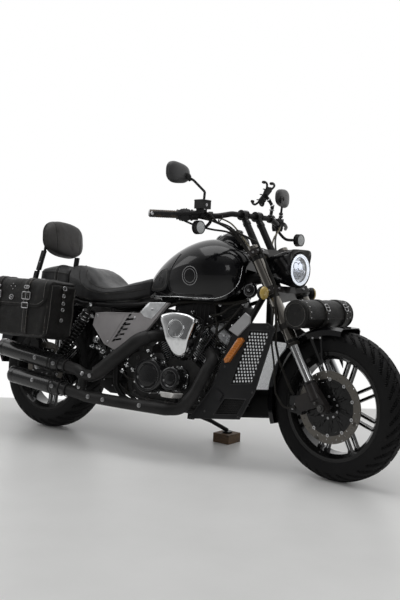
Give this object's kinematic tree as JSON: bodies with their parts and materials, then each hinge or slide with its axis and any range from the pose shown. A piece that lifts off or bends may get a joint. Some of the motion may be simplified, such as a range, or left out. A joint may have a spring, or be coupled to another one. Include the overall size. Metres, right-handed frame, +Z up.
{
  "type": "motorcycle",
  "caption": "Cruiser motorcycle in black, with a V engine, side exhausts, leather bags, backrest and tool roll, leaning on its side stand on a wooden block.",
  "frame": {"origin": "on the ground under the middle of the motorcycle's bounding box", "axes": "+X forwards, +Y to the rider's left, +Z up; the motorcycle leans 8 degrees to its left onto its stand"},
  "size_m": [2.278, 0.9698, 1.3159],
  "materials": {
    "tyre": "matt tread and sidewall",
    "wheel_black": "gloss black with light machined edges",
    "disc_steel": "worn brake steel",
    "belt_rubber": "matt",
    "axle_steel": "satin",
    "fork_black": "satin black",
    "stanchion_chrome": "polished",
    "frame_black": "satin black",
    "caliper_black": "satin black",
    "fender_black": "satin black",
    "tank_black": "deep gloss black",
    "lamp_shell_black": "gloss black",
    "lamp_glass": "clear lens with a bright ring",
    "bar_black": "satin black",
    "grip_rubber": "worn, sticky brown patches",
    "control_black": "matt black",
    "mirror_black": "satin dark grey",
    "fog_lens": "faceted lens in a black shell",
    "amber_lens": "amber",
    "red_lens": "red",
    "holder_black": "matt black",
    "hose_black": "matt",
    "leather_black": "black leather",
    "seat_leather": "smooth black vinyl",
    "engine_black": "gloss black",
    "fin_black": "satin black, light fin edges",
    "chrome": "polished",
    "exhaust_black": "satin black, faintly dusty",
    "radiator_black": "dark core",
    "shroud_grey": "satin dark grey",
    "mesh_black": "black perforated metal",
    "cover_grey": "satin dark grey",
    "trim_grey": "satin grey",
    "peg_metal": "worn plate on rubber",
    "board_wood": "dark worn boards"
  },
  "bodies": {
    "chassis": {"rear_axle": "axle_steel", "rear_caliper": "caliper_black", "frame": "frame_black", "frame_cradle": "frame_black", "tank_console": "tank_black", "fuel_tank": "tank_black", "seat": "seat_leather", "cylinders": "fin_black", "rocker_covers": "chrome", "crankcase": "engine_black", "engine_covers": "engine_black", "air_cleaner": "chrome", "intake": "control_black", "exhaust_pipes": "exhaust_black", "mufflers": "exhaust_black", "radiator": "radiator_black", "shrouds": "shroud_grey", "guards": "mesh_black", "shroud_trims": "trim_grey", "side_reflectors": "amber_lens", "horn": "control_black", "swingarm": "frame_black", "drive_belt": "belt_rubber", "rear_shocks": "frame_black", "rear_lamps": "red_lens", "rear_fender": "fender_black", "side_covers": "cover_grey", "saddlebags": "leather_black", "sissy_bar": "frame_black", "backrest": "seat_leather", "footpegs": "peg_metal", "stand_block": "board_wood"},
    "steering": {"front_axle": "axle_steel", "fork_clamps": "fork_black", "fork_tubes": "fork_black", "fork_stanchions": "stanchion_chrome", "fork_feet": "fork_black", "front_caliper": "caliper_black", "front_fender": "fender_black", "headlight_shell": "lamp_shell_black", "headlight_lamp": "lamp_glass", "handlebar": "bar_black", "mirrors": "mirror_black", "grips": "grip_rubber", "hand_controls": "control_black", "fog_lamps": "fog_lens", "front_indicators": "amber_lens", "phone_holder": "holder_black", "brake_hoses": "hose_black", "tool_roll": "leather_black"},
    "front_wheel": {"front_rim": "wheel_black", "front_tyre": "tyre", "front_disc": "disc_steel"},
    "rear_wheel": {"rear_rim": "wheel_black", "rear_tyre": "tyre", "rear_disc": "disc_steel", "rear_sprocket": "wheel_black"},
    "stand": {"side_stand": "frame_black"}
  },
  "joints": [
    {"name": "steering_turn", "type": "hinge", "parent": "chassis", "child": "steering", "pos_m": [0.77814, -0.11622, 0.27807], "axis": [-0.515, 0.1193, 0.8488], "range_deg": [-26.2, 49.8]},
    {"name": "front_wheel_spin", "type": "hinge", "parent": "steering", "child": "front_wheel", "pos_m": [0.83184, -0.12469, 0.31184], "axis": [0.1753, 0.984, -0.0319], "continuous": true},
    {"name": "rear_wheel_spin", "type": "hinge", "parent": "chassis", "child": "rear_wheel", "pos_m": [-0.76701, -0.11191, 0.30873], "axis": [0, 0.9903, -0.1392], "continuous": true},
    {"name": "side_stand_swing", "type": "hinge", "parent": "chassis", "child": "stand", "pos_m": [0.03299, 0.00655, 0.14566], "axis": [0.5514, 0.5444, 0.6321], "range_deg": [0, 118]}
  ]
}
